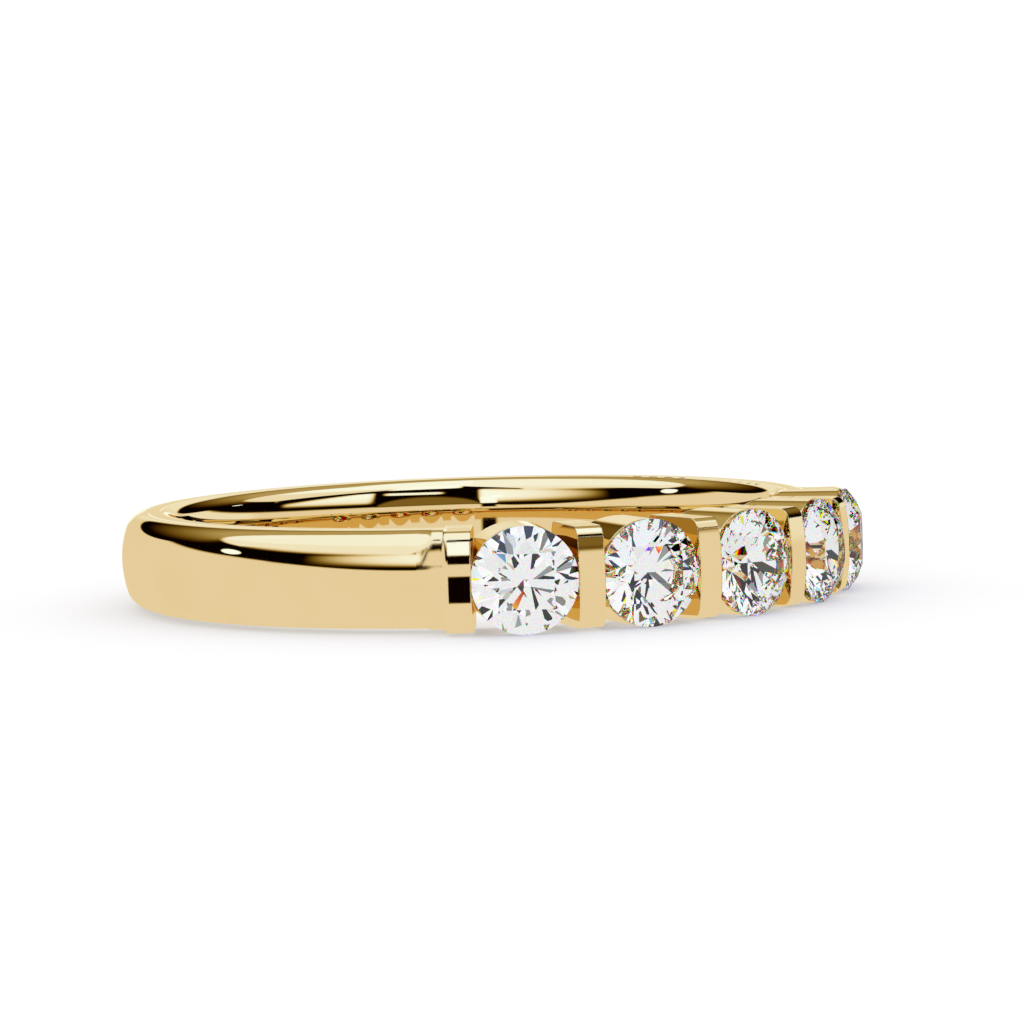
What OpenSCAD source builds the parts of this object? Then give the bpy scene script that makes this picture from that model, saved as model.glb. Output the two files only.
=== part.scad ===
// Bar set band: round stones in a row between upright bars, on a rounded shank.
// Millimetres. The finger hole runs along Z and the middle stone faces -Y.

/* [Finger hole and shank] */
// inside diameter of the ring
bore_d = 17.64; // [15:0.1:21]
// thickness of the shank at the middle of its outside
shank_t = 1.767; // [1.6:0.01:1.95]
// width of the shank along the finger
shank_w = 2.77; // [2.6:0.01:2.8]
// radius of the shank's domed outside, across its width
dome_r = 3.2; // [2.8:0.1:6]
// radius of the shank's outer corners
corner_r = 0.65; // [0.5:0.05:0.75]
// length of the straight stretch in the middle of the finger hole's wall
straight_l = 0.4; // [0.3:0.05:0.6]
// radius of the wall's comfort rounding on each side of the straight stretch
comfort_r = 3.56; // [3:0.1:5]
// radius of the rounding at each rim of the finger hole
rim_r = 0.45; // [0.3:0.05:0.5]

/* [Stones] */
// diameter of each stone at its girdle
stone_d = 3; // [2.9:0.02:3.1]
// height of the girdles' middle above the finger hole
girdle_h = 2.317; // [2.25:0.01:2.45]
// table width as a share of the stone's diameter
table_share = 0.55; // [0.5:0.01:0.62]
// angle of the crown's main facets
crown_angle = 31.5; // [29:0.5:35]
// angle of the pavilion's main facets
pavilion_angle = 40.75; // [39.5:0.25:41.5]
// thickness of the girdle at its corners
girdle_t = 0.09; // [0.07:0.01:0.12]
// how far the stars reach from the table to the girdle
star_share = 0.5; // [0.4:0.05:0.6]
// how far the lower girdle facets reach from the girdle to the point
lower_share = 0.77; // [0.7:0.01:0.85]
// turn of every stone about its own axis
stone_turn = 22.5; // [0:0.5:45]

/* [Bars] */
// thickness of each bar along the row
bar_t = 0.75; // [0.7:0.01:0.85]
// height of the bars' tops above the finger hole
bar_h = 2.575; // [2.5:0.01:2.7]
// length of each bar along the finger
bar_l = 2.82; // [2.8:0.01:2.95]
// radius of the bars' outer corners
bar_corner_r = 0.35; // [0.2:0.01:0.4]
// radius of the bars' slightly domed tops, along their length
bar_dome_r = 6.2; // [4.5:0.1:8]
// how far each girdle goes into the bars beside it
bite = 0.052; // [0.03:0.002:0.07]
// length of the flare where the shank grows into each end bar
flare_l = 0.8; // [0.6:0.02:1]
// radius of the flare's domed outside, flatter than the shank's
flare_dome_r = 8.5; // [7.5:0.5:12]
// how far the flare's parts start below the shank's outside
flare_sink = 0.01; // [0.006:0.002:0.014]

/* [Cups] */
// distance from the girdles' middle down to the cups' rims
rim_drop = 0.187; // [0.16:0.005:0.25]
// diameter of the light hole under each stone
light_d = 1.5; // [1.2:0.05:1.7]
// diameter of the light hole's mouth at the finger
mouth_d = 2; // [1.75:0.05:2.1]
// depth of the light hole's widened mouth
mouth_h = 0.3; // [0.2:0.05:0.4]
// clearance between each stone and the metal round it
seat_gap = 0.02; // [0.015:0.005:0.03]

/* [Hidden] */

$fn = 96;
rows = 5;
sides = 8;
arc_steps = 4;
over = 1;
bore_r = bore_d / 2;
shank_r = bore_r + shank_t;
shank_hw = shank_w / 2;
bar_r = bore_r + bar_h;
bar_hl = bar_l / 2;
girdle_r = bore_r + girdle_h;
stone_r = stone_d / 2;
half_bar = bar_t / 2;
half_step = asin((stone_r - bite + half_bar) / girdle_r);
step = 2 * half_step;
end_turn = rows * half_step;
// turn of the ring from the middle of the last bar to where the flare starts
flare_turn = asin((half_bar + flare_l) / shank_r);

// centre of the arc that rounds a corner of a domed section and touches the dome
function corner_x(outer, hw, dome, r) =
    outer - dome + sqrt(pow(dome - r, 2) - pow(hw - r, 2));

// angle at which that arc touches the dome
function touch(hw, dome, r) = asin((hw - r) / (dome - r));

// heights in a stone, from the middle of its girdle
girdle_half = girdle_t / 2;
facet = 360 / sides;
table_r = stone_r * table_share;
table_mid = table_r * cos(facet / 2);
star_r = table_mid + star_share * (stone_r - table_mid);
lower_r = stone_r * (1 - lower_share);
cr = tan(crown_angle);
pv = tan(pavilion_angle);
table_z = girdle_half + (stone_r - table_r) * cr;
star_z = girdle_half + (stone_r - star_r * cos(facet / 2)) * cr;
lower_z = -girdle_half - (stone_r - lower_r * cos(facet / 2)) * pv;
point_z = -girdle_half - stone_r * pv;

// height on a facet that meets the girdle circle at two corners and a point
// between them at radius r and height z, for the turn t from the middle
function edge_z(r, z, top, t) =
    top + (z - top) * (stone_r * cos(facet / 4) - stone_r * cos(facet / 4 - t))
    / (stone_r * cos(facet / 4) - r * cos(facet / 4));

function at(r, t, z) = [r * cos(t), r * sin(t), z];

function crown_edge() = [
    for (k = [0 : 2 * sides - 1], j = [0 : arc_steps - 1])
        let (t = j * facet / 2 / arc_steps)
        at(stone_r, k * facet / 2 + t, edge_z(star_r, star_z, girdle_half, t))
];

function pavilion_edge() = [
    for (k = [0 : 2 * sides - 1], j = [0 : arc_steps - 1])
        let (t = j * facet / 2 / arc_steps)
        at(stone_r, k * facet / 2 + t, edge_z(lower_r, lower_z, -girdle_half, t))
];

// numbers of the points in the stone's list
ring_n = 2 * sides * arc_steps;
star_0 = sides;
crown_0 = 2 * sides;
pav_0 = crown_0 + ring_n;
low_0 = pav_0 + ring_n;
tip = low_0 + sides;

stone_points = concat(
    [for (k = [0 : sides - 1]) at(table_r, k * facet, table_z)],
    [for (k = [0 : sides - 1]) at(star_r, (k + 0.5) * facet, star_z)],
    crown_edge(),
    pavilion_edge(),
    [for (k = [0 : sides - 1]) at(lower_r, (k + 0.5) * facet, lower_z)],
    [[0, 0, point_z]]
);

function star_at(k) = star_0 + (k + sides) % sides;
function low_at(k) = low_0 + (k + sides) % sides;
function crown_at(i) = crown_0 + (i + ring_n) % ring_n;
function pav_at(i) = pav_0 + (i + ring_n) % ring_n;

table_face = [[for (k = [sides - 1 : -1 : 0]) k]];
star_faces = [for (k = [0 : sides - 1]) [k, (k + 1) % sides, star_at(k)]];
kite_faces = [
    for (k = [0 : sides - 1])
        [k, star_at(k), crown_at(2 * k * arc_steps), star_at(k - 1)]
];
upper_faces = [
    for (h = [0 : 2 * sides - 1])
        concat([star_at(floor(h / 2))],
            [for (j = [arc_steps : -1 : 0]) crown_at(h * arc_steps + j)])
];
girdle_faces = [
    for (i = [0 : ring_n - 1])
        [crown_at(i), crown_at(i + 1), pav_at(i + 1), pav_at(i)]
];
lower_faces = [
    for (h = [0 : 2 * sides - 1])
        concat([low_at(floor(h / 2))],
            [for (j = [0 : arc_steps]) pav_at(h * arc_steps + j)])
];
main_faces = [
    for (k = [0 : sides - 1])
        [tip, low_at(k - 1), pav_at(2 * k * arc_steps), low_at(k)]
];

// one cut stone, its table towards +Z and its girdle's middle at zero
module brilliant() {
    polyhedron(
        points = stone_points,
        faces = concat(
            table_face,
            star_faces,
            kite_faces,
            upper_faces,
            girdle_faces,
            lower_faces,
            main_faces
        )
    );
}

// puts what stands on its own Z axis at stone number k, pointing outwards
module at_stone(k) {
    rotate([0, 0, (k - (rows + 1) / 2) * step])
        translate([0, -girdle_r, 0])
            rotate([90, 0, 0])
                children();
}

// the room a stone needs: its round outline with the clearance round it, and
// the crown's slope as far up as the metal reaches
module stone_room() {
    room_r = stone_r + seat_gap;
    room_up = girdle_half + seat_gap;
    room_top = stone_r * cr / 2;
    rotate_extrude()
        polygon([
            [0, -room_up - room_r * pv],
            [room_r, -room_up],
            [room_r, room_up],
            [room_r - room_top / cr, room_up + room_top],
            [0, room_up + room_top]
        ]);
}

module both_sides() {
    children();
    mirror([0, 1])
        children();
}

// what a rounding of radius r takes off a corner, from the turn low up to 90
module rounded_off(x, y, r, low) {
    reach = 2 * r;
    translate([x, y])
        difference() {
            polygon([
                [0, 0],
                [reach * cos(low), reach * sin(low)],
                [reach, reach],
                [0, reach]
            ]);
            circle(r);
        }
}

// a section with a domed outside, radius across and width up
module domed(inner, outer, hw, dome) {
    intersection() {
        translate([inner, -hw])
            square([outer - inner, 2 * hw]);
        translate([outer - dome, 0])
            circle(dome);
    }
}

// what is taken off the outer corners of such a section
module corner_waste(outer, hw, dome, r) {
    both_sides()
        rounded_off(corner_x(outer, hw, dome, r), hw - r, r, touch(hw, dome, r));
}

// what the finger hole takes off a section of half width hw
module finger_space(hw) {
    start = straight_l / 2;
    middle_x = bore_r + comfort_r;
    rim_x = middle_x - (corner_x(0, hw - start, comfort_r, rim_r) + comfort_r);
    square([2 * bore_r, 2 * bar_l], center = true);
    both_sides() {
        difference() {
            translate([bore_r - over, start])
                square([2 * over, bar_l]);
            translate([middle_x, start])
                circle(comfort_r);
        }
        mirror([1, 0])
            rounded_off(-rim_x, hw - rim_r, rim_r, touch(hw - start, comfort_r, rim_r));
    }
}

module shank_section() {
    difference() {
        domed(bore_r - over, shank_r, shank_hw, dome_r);
        corner_waste(shank_r, shank_hw, dome_r, corner_r);
        finger_space(shank_hw);
    }
}

// the plain part of the ring, from the last bar round the back to the first
module shank() {
    rotate([0, 0, end_turn - 90])
        rotate_extrude(angle = 360 - 2 * end_turn)
            shank_section();
}

// one bar, standing outwards along -Y
module bar() {
    rotate([0, 0, -90])
        rotate([90, 0, 0])
            translate([0, 0, -half_bar])
                linear_extrude(bar_t)
                    difference() {
                        domed(bore_r - over, bar_r, bar_hl, bar_dome_r);
                        corner_waste(bar_r, bar_hl, bar_dome_r, bar_corner_r);
                    }
}

// a groove whose bottom runs at radius r round a point of the section, from the
// turn low to the turn high, standing where the flare starts
module groove(x, y, r, low, high) {
    rotate([0, 0, flare_turn])
        translate([0, -x, y])
            rotate([0, 90, 0])
                rotate([0, 0, 270 - high])
                    rotate_extrude(angle = high - low)
                        translate([r - flare_sink + flare_l, 0])
                            circle(flare_l);
}

// the groove that blends the flare into the shank's dome
module dome_groove() {
    groove(shank_r - dome_r, 0, dome_r, 1, touch(shank_hw, dome_r, corner_r));
}

// the groove that blends the flare into the shank's corner
module corner_groove() {
    x = corner_x(shank_r, shank_hw, dome_r, corner_r);
    groove(x, shank_hw - corner_r, corner_r, touch(shank_hw, dome_r, corner_r), 100);
}

// the flare's metal before the grooves: flatter than the shank, with sharper corners
module flare_body() {
    flare_r = shank_r - 2 * flare_sink;
    rotate([0, 0, -90])
        rotate_extrude(angle = flare_turn)
            difference() {
                domed(bore_r - over, flare_r, shank_hw, flare_dome_r);
                corner_waste(flare_r, shank_hw, flare_dome_r, bar_corner_r);
                finger_space(shank_hw);
            }
}

// the shank growing into the last bar, that bar standing along -Y
module flare() {
    difference() {
        flare_body();
        dome_groove();
        corner_groove();
        mirror([0, 0, 1])
            dome_groove();
        mirror([0, 0, 1])
            corner_groove();
    }
}

// the round cup under one stone, from the finger hole to below the girdle
module cup() {
    translate([0, 0, -girdle_h - over])
        cylinder(r = stone_r, h = girdle_h + over - rim_drop);
}

// the light hole under one stone
module light_hole() {
    translate([0, 0, -girdle_h - over])
        cylinder(d = light_d, h = girdle_h + over);
    translate([0, 0, -girdle_h - over])
        cylinder(d = mouth_d, h = over);
    translate([0, 0, -girdle_h])
        cylinder(d1 = mouth_d, d2 = light_d, h = mouth_h);
}

// the bars and cups before the stones' room is cut
module head() {
    difference() {
        union() {
            for (k = [1 : rows])
                at_stone(k)
                    cup();
            for (k = [0 : rows])
                rotate([0, 0, (k - rows / 2) * step])
                    bar();
        }
        rotate_extrude()
            intersection() {
                finger_space(stone_r);
                translate([0, -bar_l])
                    square([shank_r, 2 * bar_l]);
            }
    }
}

module band() {
    color([0.93, 0.76, 0.42])
        difference() {
            union() {
                head();
                shank();
                rotate([0, 0, end_turn])
                    flare();
                mirror([1, 0, 0])
                    rotate([0, 0, end_turn])
                        flare();
            }
            for (k = [1 : rows])
                at_stone(k) {
                    stone_room();
                    light_hole();
                }
        }
}

module stone(k) {
    color([0.9, 0.95, 1, 0.5])
        at_stone(k)
            rotate([0, 0, stone_turn])
                brilliant();
}

band();
stone(1);  // stone_1
stone(2);  // stone_2
stone(3);  // stone_3
stone(4);  // stone_4
stone(5);  // stone_5
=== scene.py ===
"""Bar set band: polished gold, clear round stones and a plain studio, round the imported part."""

import math

import bpy
from bpy.props import FloatProperty, FloatVectorProperty, PointerProperty
from mathutils import Matrix, Vector


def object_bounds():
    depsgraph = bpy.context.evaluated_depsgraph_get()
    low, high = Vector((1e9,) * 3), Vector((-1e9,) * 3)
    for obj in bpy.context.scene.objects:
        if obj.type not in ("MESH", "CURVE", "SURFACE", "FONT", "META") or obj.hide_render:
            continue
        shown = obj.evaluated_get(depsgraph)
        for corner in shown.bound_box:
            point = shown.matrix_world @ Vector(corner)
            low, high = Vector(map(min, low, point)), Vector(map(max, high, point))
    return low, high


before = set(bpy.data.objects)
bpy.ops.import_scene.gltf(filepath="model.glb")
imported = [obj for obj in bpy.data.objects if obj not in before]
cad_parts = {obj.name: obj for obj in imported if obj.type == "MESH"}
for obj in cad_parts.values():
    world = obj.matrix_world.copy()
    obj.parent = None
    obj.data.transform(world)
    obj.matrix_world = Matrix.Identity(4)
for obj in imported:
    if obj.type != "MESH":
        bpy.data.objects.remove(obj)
cad_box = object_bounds()

bl_info = {
    "name": "Bar Set Band",
    "version": (1, 0, 0),
    "blender": (4, 5, 0),
    "location": "3D View > Sidebar > Band",
    "description": "Dresses a bar set band in polished gold and cut stones, in a plain studio",
    "category": "Object",
}

MM = 0.001
STONES = sorted(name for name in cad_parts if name.startswith("stone_"))

# the ring's section, as in its drawing
HOLE = 8.82
OUTSIDE = 10.587
HALF_WIDTH = 1.385
DOME = 3.2
CORNER = 0.65
STRAIGHT = 0.2
COMFORT = 3.56
RIM = 0.45

# where the flares lie: turn from the middle stone in degrees, and distance from the finger's axis
FLARE_END = 47.1
FLARE_START = FLARE_END + 6.37
FLARE_INSIDE = 10.0

# how far from an arc the mesh may lie, and how nearly its direction must agree, to count as that arc
ARC_REACH = 0.03
ARC_AGREES = 0.99
PAST_THE_RING = 9.0

# red, green and blue of the white sweep as the gold sees it
GOLD_WHITE = (0.99, 1.09, 1.64)


class Val:
    """A number, colour or vector in a node tree, so that shader maths reads as plain expressions."""

    def __init__(self, tree, socket):
        self.tree = tree
        self.socket = socket

    def maths(self, operation, *others):
        settings = {"operation": operation}
        return self.tree.node("ShaderNodeMath", settings, dict(enumerate((self, *others))))

    def __add__(self, other):
        return self.maths("ADD", other)

    def __radd__(self, other):
        return self.maths("ADD", other)

    def __sub__(self, other):
        return self.maths("SUBTRACT", other)

    def __rsub__(self, other):
        return self.tree.number(other).maths("SUBTRACT", self)

    def __mul__(self, other):
        return self.maths("MULTIPLY", other)

    def __rmul__(self, other):
        return self.maths("MULTIPLY", other)

    def __truediv__(self, other):
        return self.maths("DIVIDE", other)

    def __neg__(self):
        return self.maths("MULTIPLY", -1)

    def __abs__(self):
        return self.maths("ABSOLUTE")

    def rises(self, low, high):
        """0 below low, 1 above high, with a soft step between."""
        settings = {"interpolation_type": "SMOOTHSTEP"}
        return self.tree.node(
            "ShaderNodeMapRange", settings, {"Value": self, "From Min": low, "From Max": high}
        )

    def falls(self, low, high):
        """1 below low, 0 above high, with a soft step between."""
        return 1 - self.rises(low, high)

    def between(self, low, high, soft):
        """1 between low and high, with soft edges half inside and half outside."""
        half = soft / 2
        return self.rises(low - half, low + half) * self.falls(high - half, high + half)

    def at_least(self, low):
        return self.maths("MAXIMUM", low)

    def at_most(self, high):
        return self.maths("MINIMUM", high)

    def over(self, where, new):
        """This value, painted over with a new one as far as where is 1."""
        return self + (new - self) * where


class Tree:
    """A material's or world's nodes, added by expressions and by node()."""

    def __init__(self, owner):
        owner.use_nodes = True
        self.nodes = owner.node_tree.nodes
        self.links = owner.node_tree.links
        self.nodes.clear()

    def node(self, kind, settings=None, sockets=None, output=0):
        """Adds one node: its settings first, then the values or links of its sockets."""
        made = self.nodes.new(kind)
        for name, value in (settings or {}).items():
            setattr(made, name, value)
        for name, value in (sockets or {}).items():
            if isinstance(value, Val):
                self.links.new(value.socket, made.inputs[name])
            else:
                made.inputs[name].default_value = value
        return Val(self, made.outputs[output]) if made.outputs else None

    def number(self, value):
        """A plain number as a Val, for the reflected forms of the maths."""
        val = self.node("ShaderNodeValue")
        val.socket.default_value = value
        return val

    def mix(self, factor, first, second):
        """A colour that goes from first to second as factor goes from 0 to 1."""
        settings = {"data_type": "RGBA", "clamp_factor": True}
        made = self.node("ShaderNodeMix", settings)
        inputs = made.socket.node.inputs
        for index, value in ((0, factor), (6, first), (7, second)):
            if isinstance(value, Val):
                self.links.new(value.socket, inputs[index])
            else:
                inputs[index].default_value = value
        return Val(self, made.socket.node.outputs[2])

    def parts(self, vector):
        """The x, y and z of a vector."""
        outputs = self.node("ShaderNodeSeparateXYZ", {}, {0: vector}).socket.node.outputs
        return [Val(self, socket) for socket in outputs]

    def vector(self, x, y, z):
        return self.node("ShaderNodeCombineXYZ", {}, {0: x, 1: y, 2: z})

    def unit(self, vector):
        """A vector in the same direction, of length 1."""
        return self.node("ShaderNodeVectorMath", {"operation": "NORMALIZE"}, {0: vector})

    def dot(self, first, second):
        settings = {"operation": "DOT_PRODUCT"}
        return self.node("ShaderNodeVectorMath", settings, {0: first, 1: second}, output=1)

    def pick(self, factor, first, second):
        """The first vector where factor is 0, the second where it is 1."""
        made = self.node("ShaderNodeMix", {"data_type": "VECTOR"})
        inputs = made.socket.node.inputs
        for index, value in ((0, factor), (4, first), (5, second)):
            self.links.new(value.socket, inputs[index])
        return Val(self, made.socket.node.outputs[1])

    def noise(self, vector, scale, detail=2.0):
        """Soft noise from 0 to 1."""
        sockets = {"Vector": vector, "Scale": scale, "Detail": detail}
        return self.node("ShaderNodeTexNoise", {}, sockets)

    def surface(self, shader, kind="ShaderNodeOutputMaterial"):
        """Ends the tree in its output."""
        self.node(kind, {}, {"Surface": shader})


def opaque(colour):
    """A colour with full alpha, for a colour socket."""
    return (*colour, 1.0)


class GoldSettings(bpy.types.PropertyGroup):
    """Polished yellow gold"""

    colour: FloatVectorProperty(
        name="Gold colour",
        description="What the polished gold sends back of white light",
        subtype="COLOR", size=3, min=0, max=1, default=(0.80, 0.56, 0.20),
    )
    deep_colour: FloatVectorProperty(
        name="Deeper gold",
        description="The slightly redder gold that the alloy drifts to",
        subtype="COLOR", size=3, min=0, max=1, default=(0.79, 0.548, 0.19),
    )
    edge_colour: FloatVectorProperty(
        name="Colour at a glance",
        description="What the gold sends back of light that only grazes it",
        subtype="COLOR", size=3, min=0, max=1, default=(0.93, 0.80, 0.62),
    )
    polish: FloatProperty(
        name="Roughness",
        description="Roughness of the mirror polish",
        min=0, max=1, default=0.018, subtype="FACTOR",
    )
    wear: FloatProperty(
        name="Polishing lines",
        description="How much fine polishing lines add to the roughness",
        min=0, max=0.2, default=0.02, subtype="FACTOR",
    )
    edge: FloatProperty(
        name="Edge softening",
        description="Radius that the polish has worn onto every edge",
        min=0, max=0.0002, default=0.00005, precision=5, unit="LENGTH",
    )
    fillet: FloatProperty(
        name="Flare softening",
        description="Radius of the soft sweep from the shank into the end bars",
        min=0, max=0.0005, default=0.00018, precision=5, unit="LENGTH",
    )


class StoneSettings(bpy.types.PropertyGroup):
    """Clear round brilliants"""

    index: FloatProperty(
        name="Refractive index",
        description="Refractive index of the stones for green light",
        min=1, max=3, default=2.417,
    )
    fire: FloatProperty(
        name="Fire",
        description="How much further blue light bends than red",
        min=0, max=0.2, default=0.044,
    )
    gloss: FloatProperty(
        name="Gloss",
        description="Share of the studio's light that shows in the outside of the facets",
        min=0, max=1, default=0.35, subtype="FACTOR",
    )


class StudioSettings(bpy.types.PropertyGroup):
    """Camera, floor and light"""

    side: FloatProperty(
        name="Camera azimuth",
        description="Turn of the camera from the middle stone's front, towards the first stone",
        default=math.radians(-44.51), subtype="ANGLE",
    )
    height: FloatProperty(
        name="Camera elevation",
        description="Angle of the camera above the floor",
        default=math.radians(5.112), subtype="ANGLE",
    )
    distance: FloatProperty(
        name="Camera distance",
        description="Distance from the ring's middle to the camera",
        default=0.12078, unit="LENGTH",
    )
    roll: FloatProperty(
        name="Camera roll",
        description="Turn of the camera about its own line of sight",
        default=math.radians(-1.744), subtype="ANGLE",
    )
    lens: FloatProperty(
        name="Lens",
        description="Focal length on a sensor 36 mm wide",
        default=141.07, unit="CAMERA",
    )
    aim: FloatVectorProperty(
        name="Aim",
        description="Point that the camera looks at",
        size=3, default=(0.000810, -0.000796, 0.000990), subtype="TRANSLATION",
    )
    floor_colour: FloatVectorProperty(
        name="Floor colour",
        description="Colour of the pale floor",
        subtype="COLOR", size=3, min=0, max=1, default=(0.80, 0.795, 0.80),
    )
    gold_contrast: FloatProperty(
        name="Contrast on gold",
        description="How strongly the light off the gold exposes the picture",
        min=0.1, max=10, default=1.25,
    )
    stone_contrast: FloatProperty(
        name="Contrast in the stones",
        description="How strongly the light from a stone exposes the picture",
        min=0.1, max=10, default=2.2,
    )
    stone_brightness: FloatProperty(
        name="Light in the stones",
        description="Brightness of the light that comes out of a stone",
        min=0, max=3, default=1.14,
    )
    brightness: FloatProperty(
        name="Soft light",
        description="Brightness of the even light that falls on the floor",
        default=0.89,
    )
    lift: FloatProperty(
        name="Shadow lift",
        description="Light that the floor gives off itself, which keeps the shadows pale",
        min=0, max=1, default=0.32,
    )
    floor_width: FloatProperty(
        name="Floor width",
        description="Width of the floor",
        default=6.0, unit="LENGTH",
    )


class BandSettings(bpy.types.PropertyGroup):
    """Everything that a user would change"""

    gold: PointerProperty(type=GoldSettings)
    stones: PointerProperty(type=StoneSettings)
    studio: PointerProperty(type=StudioSettings)


def arcs_of(outside, half_width, dome, corner):
    """The dome and the rounded corner of a section: centre, height, radius and reach in height."""
    inner = half_width - corner
    centre = outside - dome + math.sqrt((dome - corner) ** 2 - inner ** 2)
    touch = dome * inner / (dome - corner)
    return (outside - dome, 0.0, dome, 0.0, touch), (centre, inner, corner, touch, PAST_THE_RING)


class Turned:
    """Exact surface directions of the turned parts of the ring, in millimetres."""

    def __init__(self, tree, worn):
        self.tree = tree
        self.worn = worn
        self.normal = worn
        place = tree.node("ShaderNodeNewGeometry")
        self.x, self.y, self.z = (part / MM for part in tree.parts(place))
        self.out = (self.x * self.x + self.y * self.y).maths("SQRT")
        self.side = self.z.maths("SIGN")

    def use(self, where, exact):
        """Takes the exact direction where it applies and nearly agrees with the mesh's."""
        same = self.tree.dot(exact, self.worn).maths("GREATER_THAN", ARC_AGREES)
        self.normal = self.tree.pick(where * same, self.normal, exact)

    def turn(self, arc):
        """An arc of the section, turned round the finger."""
        centre, height, radius, low, high = arc
        reach = self.out - centre
        rise = (abs(self.z) - height).at_least(0) * self.side
        away = (reach * reach + rise * rise).maths("SQRT")
        zone = abs(self.z).maths("GREATER_THAN", low) * abs(self.z).maths("LESS_THAN", high)
        near = abs(away - radius).maths("LESS_THAN", ARC_REACH) * zone
        across = reach / self.out
        exact = self.tree.unit(self.tree.vector(self.x * across, self.y * across, rise))
        self.use(near, exact)

    def in_flare(self):
        """1 on the flares and the ends of the shank beside them."""
        ahead = abs(self.x).maths("ARCTAN2", -self.y) * (180 / math.pi)
        return ahead.maths("LESS_THAN", FLARE_START) * ahead.maths("GREATER_THAN", FLARE_END)


def turned_normal(tree, worn, soft):
    """The exact direction of the turned surfaces, a soft one over the flares, and the worn one."""
    turned = Turned(tree, worn)
    for arc in arcs_of(OUTSIDE, HALF_WIDTH, DOME, CORNER):
        turned.turn(arc)
    flare = turned.in_flare() * turned.out.maths("GREATER_THAN", FLARE_INSIDE)
    turned.normal = tree.pick(flare, turned.normal, soft)
    inner = HALF_WIDTH - STRAIGHT - RIM
    rim = HOLE + COMFORT - math.sqrt((COMFORT - RIM) ** 2 - inner ** 2)
    touch = STRAIGHT + COMFORT * inner / (COMFORT - RIM)
    turned.turn((HOLE + COMFORT, STRAIGHT, COMFORT, 0.0, touch))
    turned.turn((rim, HALF_WIDTH - RIM, RIM, touch, PAST_THE_RING))
    return tree.unit(turned.normal)


def polished_gold(look):
    """Mirror polished gold: a faint drift of colour, fine polishing lines and softened edges."""
    material = bpy.data.materials.new("polished gold")
    tree = Tree(material)
    place = tree.node("ShaderNodeTexCoord", output=3)
    drift = tree.noise(place, 400.0).rises(0.35, 0.65)
    stretch = {"Scale": (3000.0, 3000.0, 30000.0)}
    lines_at = tree.node("ShaderNodeMapping", {}, {"Vector": place, **stretch})
    lines = tree.noise(lines_at, 1.0, 3.0).rises(0.45, 0.75)
    edges = tree.node("ShaderNodeBevel", {"samples": 6}, {"Radius": look.edge})
    fillet = tree.node("ShaderNodeBevel", {"samples": 8}, {"Radius": look.fillet})
    colour = tree.mix(drift, opaque(look.colour), opaque(look.deep_colour))
    normal = turned_normal(tree, edges, fillet)
    polish = {"Roughness": look.polish + lines * look.wear, "Normal": normal}
    metal = tree.node("ShaderNodeBsdfPrincipled", {}, {
        "Base Color": colour, "Metallic": 1.0, "Specular Tint": opaque(look.edge_colour), **polish
    })
    glance = tree.node("ShaderNodeBsdfAnisotropic", {}, {"Color": colour, **polish})
    facing = tree.node("ShaderNodeLayerWeight", {}, {"Blend": 0.5}, output=1)
    shown = tree.node("ShaderNodeMixShader", {}, {0: facing.rises(0.3, 0.6), 1: metal, 2: glance})
    tree.surface(shown)
    return material


def cut_stone(look):
    """Clear stone: mirrors inside where light can't leave, and splits what leaves into colours."""
    material = bpy.data.materials.new("clear stone")
    tree = Tree(material)
    polish = {"Roughness": 0.0}
    gloss = tree.node("ShaderNodeBsdfAnisotropic", {}, {"Color": (1, 1, 1, 1), **polish})
    untinted = opaque([look.gloss / part for part in GOLD_WHITE])
    glint = tree.node("ShaderNodeBsdfAnisotropic", {}, {"Color": untinted, **polish})
    enters = tree.node("ShaderNodeBsdfRefraction", {}, {"IOR": look.index, **polish})
    red, green, blue = (
        tree.node(
            "ShaderNodeBsdfRefraction", {},
            {"Color": opaque(colour), "IOR": look.index + look.fire * shift, **polish},
        )
        for colour, shift in (((1, 0, 0), -0.5), ((0, 1, 0), 0.0), ((0, 0, 1), 0.5))
    )
    warm = tree.node("ShaderNodeAddShader", {}, {0: red, 1: green})
    leaves = tree.node("ShaderNodeAddShader", {}, {0: warm, 1: blue})
    shine = tree.node("ShaderNodeFresnel", {}, {"IOR": look.index})
    trapped = shine.maths("GREATER_THAN", 0.999)
    inside = Val(tree, tree.node("ShaderNodeNewGeometry").socket.node.outputs["Backfacing"])
    outer = tree.node("ShaderNodeMixShader", {}, {0: shine, 1: enters, 2: glint})
    inner = tree.node("ShaderNodeMixShader", {}, {0: trapped, 1: leaves, 2: gloss})
    tree.surface(tree.node("ShaderNodeMixShader", {}, {0: inside, 1: outer, 2: inner}))
    return material


def pale_floor(look):
    """Matt white paper with the faintest tooth."""
    material = bpy.data.materials.new("pale floor")
    tree = Tree(material)
    place = tree.node("ShaderNodeTexCoord", output=3)
    tooth = tree.noise(place, 900.0, 4.0)
    paler = [0.99 * part for part in look.floor_colour]
    sockets = {
        "Base Color": tree.mix(tooth, opaque(look.floor_colour), opaque(paler)),
        "Roughness": 0.9,
        "Specular IOR Level": 0.0,
        "Emission Color": (1.0, 0.985, 1.0, 1.0),
        "Emission Strength": look.lift,
    }
    tree.surface(tree.node("ShaderNodeBsdfPrincipled", {}, sockets))
    return material


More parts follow.
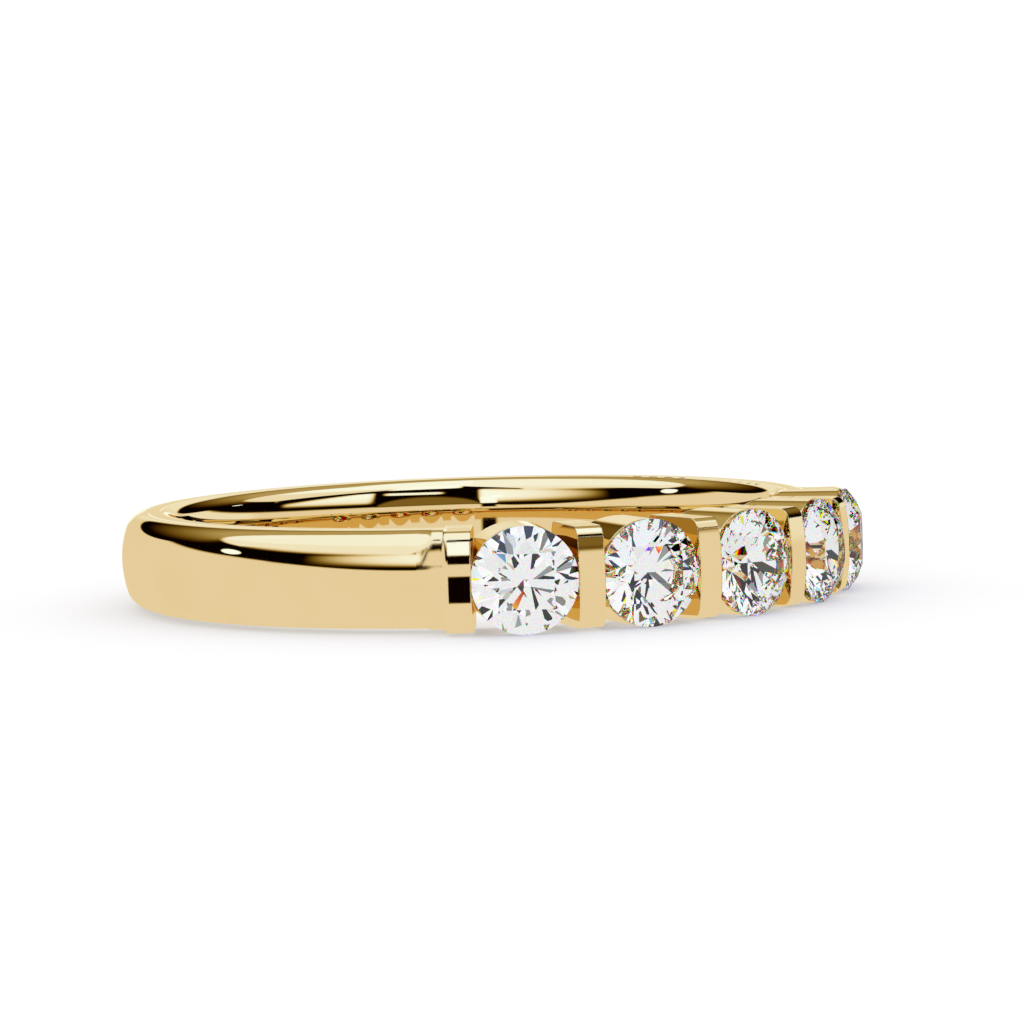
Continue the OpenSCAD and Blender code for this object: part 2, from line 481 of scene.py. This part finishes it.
def studio_light(tree, look):
    """Brightness of the studio in each direction, the white sweep of the floor being 1."""
    way = tree.node("ShaderNodeTexCoord")
    split = tree.node("ShaderNodeSeparateXYZ", {}, {"Vector": way})
    x, y, z = (Val(tree, socket) for socket in split.socket.node.outputs)
    degrees = 180 / math.pi
    lift = z.maths("ARCSINE") * degrees
    turn = x.maths("ARCTAN2", -y) * degrees - math.degrees(look.side)
    turn = turn.maths("WRAP", 180.0, -180.0)
    back = abs(turn)

    # the sweep, and above it the bright ceiling cloths of the left and right side
    horizon = 11.2 + 2.6 * turn.falls(-165, -130) - 5.9 * turn.rises(-88, -22)
    horizon = horizon + 2.4 * turn.rises(-18, 5)
    above = (lift - horizon).rises(-0.9, 0.9)
    left = 1.5 + 0.55 * lift.rises(35, 42)
    right = 1.2 + 2.0 * lift.rises(44, 62)
    light = (1.0 + 0.3 * turn.between(100, 155, 10) * lift.rises(-2, 2)).over(
        above, left.over(turn.rises(-5, 10), right)
    )

    # dark walls between the sweep and the cloths, paler high up at the back
    left_top = 20.5 + 1.2 * (turn + 22).at_least(0) + 0.7 * (-85 - turn).at_least(0)
    right_top = 16 + 0.53 * abs(turn - 88) + 34 * turn.rises(118, 132)
    top = left_top.at_most(right_top).at_most(67)
    wall = above * (top - lift).rises(-2.2, 2.2)
    grey = ((lift - 18) * 0.02).at_least(0).at_most(0.5) * back.rises(95, 112)
    light = light.over(wall, 0.015 + grey)

    # two windows in the walls, on the left and on the right of the camera
    left_pane = lift.rises(7.5, 15.5) * (18.3 + 0.09 * (turn + 50) - lift).rises(-1.8, 1.8)
    light = light.over(
        left_pane * turn.between(-70, -3, 4), (0.055 * (turn + 58)).at_least(0.015)
    )
    right_pane = (lift - 11).rises(-2, 2) * (22 - 0.21 * (turn - 40) - lift).rises(-1.5, 1.5)
    light = light.over(right_pane * turn.between(43, 84, 5), 0.4 * (lift - 9.5).at_least(0))

    # what stands in front of the camera: a brown hood with a black rim, and the lamps above it
    across = (turn - 19) / 22
    hood_top = 8 + 10.5 * (1 - across * across).at_least(0).maths("SQRT")
    hood = turn.between(-3, 41, 1) * (lift - 8).rises(-1, 1)
    light = light.over(hood * (hood_top - lift).rises(-0.6, 0.6), 0.02)
    light = light.over(hood * (hood_top - 2.2 - lift).rises(-1.5, 1.5), 0.28)
    light = light.over(turn.between(14, 36, 6) * lift.between(19, 21, 1.0), 3.0)
    middle = turn.between(-9, -3, 2)
    light = light.over(middle * lift.between(-16, -2, 1.0), 0.02)
    light = light.over(middle * lift.between(4.3, 8.3, 0.8), 0.02)
    light = light.over(middle * lift.between(8.3, 14.5, 0.8), 4.0)
    light = light.over(turn.between(8, 37, 8) * lift.between(39, 62, 8), 8.0)

    # the gap straight behind the ring, and three small lamps
    gap = back.rises(166, 172)
    light = light.over(gap * lift.between(6, 28, 8), 1.4)
    light = light.over(gap * lift.between(-3.5, 3.5, 2), 4.5)
    for at_turn, at_lift, wide, high, glow in (
        (-87, 14.6, 5, 1.9, 9.0),
        (-9.5, 15, 3, 1.5, 8.0),
        (111, 14.6, 4, 1.8, 6.0),
        (-112, 53, 2.5, 5, 3.0),
    ):
        sideways = (turn - at_turn) / wide
        upward = (lift - at_lift) / high
        light = light + glow * (sideways * sideways + upward * upward).falls(0.1, 1.0)
    return light


def printed(light, strength):
    """How a photograph prints an amount of light: shades go deeper and lights level off at 1."""
    square = light * light * strength ** 2
    return square / (1 + square)


def printed_gold(light, strength):
    """Red, green and blue of such light on gold: its shades are olive and its lights are pale."""
    green = printed(light, strength) / (strength ** 2 / (1 + strength ** 2))
    red = green.maths("POWER", 0.8).at_most(green.maths("POWER", 0.43))
    blue = green.maths("POWER", 1.85)
    return [part * shade for part, shade in zip(GOLD_WHITE, (red, green, blue))]


def studio_world(look):
    """What the gold and the stones see, an even light for the floor, and white for the camera."""
    world = bpy.data.worlds.new("studio")
    tree = Tree(world)
    light = studio_light(tree, look)
    grey = look.stone_brightness * printed(light, look.stone_contrast)
    metal, gem = (
        tree.node(
            "ShaderNodeBackground", {},
            {"Color": tree.node("ShaderNodeCombineColor", {}, dict(enumerate(parts)))},
        )
        for parts in (printed_gold(light, look.gold_contrast), (grey, grey, grey))
    )
    even = tree.node("ShaderNodeBackground", {}, {"Strength": look.brightness})
    white = tree.node("ShaderNodeBackground", {}, {"Strength": 1.1})
    for shader in (even, white):
        shader.socket.node.inputs["Color"].default_value = (1, 1, 1, 1)
    # light that the gold throws onto the floor, cool so that it lands nearly grey
    thrown = tree.node("ShaderNodeBackground", {}, {"Color": (0.62, 0.80, 1.8, 1.0)})
    path = tree.node("ShaderNodeLightPath").socket.node.outputs
    shown = metal
    for ray, shader in (
        ("Is Transmission Ray", gem),
        ("Diffuse Depth", thrown),
        ("Is Diffuse Ray", even),
        ("Is Camera Ray", white),
    ):
        share = Val(tree, path[ray]).at_most(1)
        shown = tree.node("ShaderNodeMixShader", {}, {0: share, 1: shown, 2: shader})
    tree.surface(shown, "ShaderNodeOutputWorld")
    # a light sample doesn't tell which kind of ray it serves, so the rays alone find the world
    world.cycles.sampling_method = "NONE"
    return world


class BAND_OT_polish_metal(bpy.types.Operator):
    """Gives the band its polished gold"""

    bl_idname = "band.polish_metal"
    bl_label = "Polish the metal"

    def execute(self, context):
        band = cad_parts["band"]
        dress(band, polished_gold(context.scene.bar_set_band.gold))
        return {"FINISHED"}


class BAND_OT_set_stones(bpy.types.Operator):
    """Gives the round stones their clear, sharp facets"""

    bl_idname = "band.set_stones"
    bl_label = "Set the stones"

    def execute(self, context):
        if not STONES:
            raise RuntimeError("the packed part has no stones")
        clear = cut_stone(context.scene.bar_set_band.stones)
        for name in STONES:
            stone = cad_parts[name]
            dress(stone, clear)
            stone.data.shade_flat()
        return {"FINISHED"}


class BAND_OT_build_studio(bpy.types.Operator):
    """Lays the floor and sets the light and the camera"""

    bl_idname = "band.build_studio"
    bl_label = "Build the studio"

    def execute(self, context):
        scene = context.scene
        look = scene.bar_set_band.studio
        lay_floor(look)
        scene.world = studio_world(look)
        scene.camera = place_camera(look)
        scene.view_settings.view_transform = "Standard"
        scene.cycles.max_bounces = 32
        scene.cycles.glossy_bounces = 24
        scene.cycles.transmission_bounces = 24
        return {"FINISHED"}


class BAND_PT_panel(bpy.types.Panel):
    """Lists the steps and their settings"""

    bl_idname = "BAND_PT_panel"
    bl_label = "Bar set band"
    bl_space_type = "VIEW_3D"
    bl_region_type = "UI"
    bl_category = "Band"

    def draw(self, context):
        settings = context.scene.bar_set_band
        for group, steps in (
            (settings.gold, (BAND_OT_polish_metal,)),
            (settings.stones, (BAND_OT_set_stones,)),
            (settings.studio, (BAND_OT_build_studio,)),
        ):
            box = self.layout.box()
            for name in group.__annotations__:
                box.prop(group, name)
            for step in steps:
                box.operator(step.bl_idname)


def dress(piece, material):
    """Puts one material on a whole piece."""
    piece.data.materials.clear()
    piece.data.materials.append(material)


def lay_floor(look):
    """A wide pale floor under the ring's lowest point."""
    low = cad_box[0].z
    half = look.floor_width / 2
    mesh = bpy.data.meshes.new("floor")
    corners = [(x, y, low) for x, y in ((-half, -half), (half, -half), (half, half), (-half, half))]
    mesh.from_pydata(corners, [], [(0, 1, 2, 3)])
    floor = bpy.data.objects.new("floor", mesh)
    bpy.context.scene.collection.objects.link(floor)
    dress(floor, pale_floor(look))
    floor.visible_glossy = False
    floor.visible_transmission = False


def place_camera(look):
    """The camera at the photograph's viewing angle."""
    data = bpy.data.cameras.new("camera")
    data.lens = look.lens
    data.sensor_width = 36.0
    data.clip_start, data.clip_end = 0.001, 20.0
    camera = bpy.data.objects.new("camera", data)
    bpy.context.scene.collection.objects.link(camera)
    flat = look.distance * math.cos(look.height)
    place = Vector((
        flat * math.sin(look.side),
        -flat * math.cos(look.side),
        look.distance * math.sin(look.height),
    ))
    turned = (Vector(look.aim) - place).to_track_quat("-Z", "Y").to_matrix().to_4x4()
    camera.matrix_world = Matrix.Translation(place) @ turned @ Matrix.Rotation(look.roll, 4, "Z")
    return camera


CLASSES = (
    GoldSettings,
    StoneSettings,
    StudioSettings,
    BandSettings,
    BAND_OT_polish_metal,
    BAND_OT_set_stones,
    BAND_OT_build_studio,
    BAND_PT_panel,
)


def register():
    for cls in CLASSES:
        bpy.utils.register_class(cls)
    bpy.types.Scene.bar_set_band = PointerProperty(type=BandSettings)


def unregister():
    del bpy.types.Scene.bar_set_band
    for cls in reversed(CLASSES):
        bpy.utils.unregister_class(cls)


def main():
    register()
    bpy.ops.band.polish_metal()
    bpy.ops.band.set_stones()
    bpy.ops.band.build_studio()


if __name__ == "__main__":
    main()
